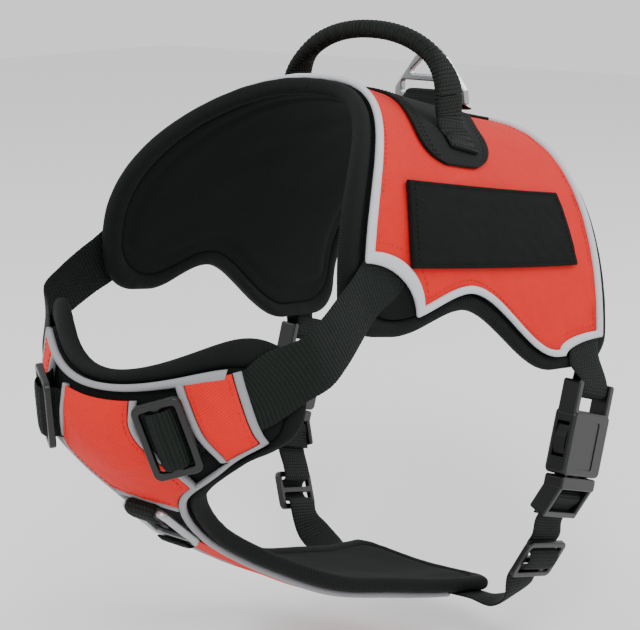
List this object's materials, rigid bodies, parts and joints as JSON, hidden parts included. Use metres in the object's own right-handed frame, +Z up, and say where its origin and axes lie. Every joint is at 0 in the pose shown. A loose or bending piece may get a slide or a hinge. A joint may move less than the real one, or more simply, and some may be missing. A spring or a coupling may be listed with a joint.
{
  "type": "no pull dog harness",
  "caption": "Padded dog harness with a saddle-shaped back panel, Y-shaped chest and belly panel, grab handle, leash rings, shoulder straps and girth straps with side-release buckles.",
  "frame": {"origin": "centre of the chest cavity, on the plane of symmetry, where the wearer's torso passes", "axes": "+Y points from the head to the tail, along the way the wearer leaves; +X is the wearer's left; +Z is up, towards the handle"},
  "size_m": [0.1936, 0.2956, 0.2986],
  "materials": {
    "red_shell": "woven polyester canvas, fine diagonal twill",
    "padding_mesh": "knitted spacer mesh over foam",
    "binding": "ribbed edge binding tape",
    "webbing": "ribbed polyester webbing",
    "back_piping": "silver reflective piping",
    "chest_piping": "grey reflective piping",
    "loop_pile": "hook-and-loop pile",
    "base_cloth": "plain woven backing cloth",
    "plastic": "satin moulded acetal",
    "ring_metal": "satin grey zinc alloy"
  },
  "bodies": {
    "harness": {"back_binding": "binding", "back_lining": "padding_mesh", "back_piping": "back_piping", "back_shell": "red_shell", "belly_field": "red_shell", "belly_webbing": "webbing", "chest_belly_binding": "binding", "chest_belly_cover": "base_cloth", "chest_belly_lining": "padding_mesh", "chest_edge_piping": "chest_piping", "chest_field_centre": "red_shell", "chest_field_piping": "chest_piping", "front_ring": "ring_metal", "front_ring_lower_loop": "webbing", "front_ring_upper_loop": "webbing", "handle_saddle": "binding", "left_chest_field": "red_shell", "left_female_buckle": "plastic", "left_girth_loop": "webbing", "left_girth_strap": "webbing", "left_handle_foot": "webbing", "left_loop_patch": "loop_pile", "left_shoulder_strap": "webbing", "right_chest_field": "red_shell", "right_female_buckle": "plastic", "right_girth_loop": "webbing", "right_girth_strap": "webbing", "right_handle_foot": "webbing", "right_loop_patch": "loop_pile", "right_shoulder_strap": "webbing", "side_field_piping": "chest_piping", "spine_webbing": "webbing", "top_ring_webbing": "webbing"},
    "handle": {"handle": "webbing"},
    "top_ring": {"top_ring": "ring_metal"},
    "left_male": {"left_male_buckle": "plastic"},
    "left_prong_a": {"left_prong_a": "plastic"},
    "left_prong_b": {"left_prong_b": "plastic"},
    "left_girth_slide": {"left_girth_slide": "plastic"},
    "left_chest_slide": {"left_chest_slide": "plastic"},
    "right_male": {"right_male_buckle": "plastic"},
    "right_prong_a": {"right_prong_a": "plastic"},
    "right_prong_b": {"right_prong_b": "plastic"},
    "right_girth_slide": {"right_girth_slide": "plastic"},
    "right_chest_slide": {"right_chest_slide": "plastic"}
  },
  "joints": [
    {"name": "handle_swing", "type": "hinge", "parent": "harness", "child": "handle", "pos_m": [0, 0.03828, 0.10139], "axis": [1, 0, 0], "range_deg": [-25, 25]},
    {"name": "top_ring_swing", "type": "hinge", "parent": "harness", "child": "top_ring", "pos_m": [0, 0.08953, 0.09453], "axis": [1, 0, 0], "range_deg": [-55, 55]},
    {"name": "left_buckle_play", "type": "slide", "parent": "harness", "child": "left_male", "axis": [0, -0.318, -0.9481], "range_m": [0, 0.0008], "deforming": ["left_girth_strap"]},
    {"name": "left_front_prong_press", "type": "hinge", "parent": "left_male", "child": "left_prong_a", "pos_m": [0.08953, 0.07544, -0.08442], "axis": [-0.9988, 0.0473, -0.0159], "range_deg": [0, 10], "stiffness_Nm_per_rad": 0.05},
    {"name": "left_rear_prong_press", "type": "hinge", "parent": "left_male", "child": "left_prong_b", "pos_m": [0.09047, 0.09324, -0.09039], "axis": [0.9988, -0.0473, 0.0159], "range_deg": [0, 10]},
    {"name": "left_girth_adjust", "type": "slide", "parent": "left_male", "child": "left_girth_slide", "axis": [-0.3999, -0.2199, -0.8898], "range_m": [-0.002, 0.004], "deforming": ["left_girth_strap"]},
    {"name": "left_chest_adjust", "type": "slide", "parent": "harness", "child": "left_chest_slide", "axis": [0.8215, 0.4877, 0.2955], "range_m": [-0.002, 0.002], "deforming": ["left_shoulder_strap"]},
    {"name": "right_buckle_play", "type": "slide", "parent": "harness", "child": "right_male", "axis": [0, -0.318, -0.9481], "range_m": [0, 0.0008], "deforming": ["right_girth_strap"]},
    {"name": "right_front_prong_press", "type": "hinge", "parent": "right_male", "child": "right_prong_a", "pos_m": [-0.08953, 0.07544, -0.08442], "axis": [-0.9988, -0.0473, 0.0159], "range_deg": [0, 10], "stiffness_Nm_per_rad": 0.05},
    {"name": "right_rear_prong_press", "type": "hinge", "parent": "right_male", "child": "right_prong_b", "pos_m": [-0.09047, 0.09324, -0.09039], "axis": [0.9988, 0.0473, -0.0159], "range_deg": [0, 10]},
    {"name": "right_girth_adjust", "type": "slide", "parent": "right_male", "child": "right_girth_slide", "axis": [0.3999, -0.2199, -0.8898], "range_m": [-0.002, 0.004], "deforming": ["right_girth_strap"]},
    {"name": "right_chest_adjust", "type": "slide", "parent": "harness", "child": "right_chest_slide", "axis": [-0.8215, 0.4877, 0.2955], "range_m": [-0.002, 0.002], "deforming": ["right_shoulder_strap"]}
  ],
  "couplings": [
    {"joint": "left_rear_prong_press", "follows": "left_front_prong_press", "ratio": 1},
    {"joint": "right_rear_prong_press", "follows": "right_front_prong_press", "ratio": 1}
  ]
}
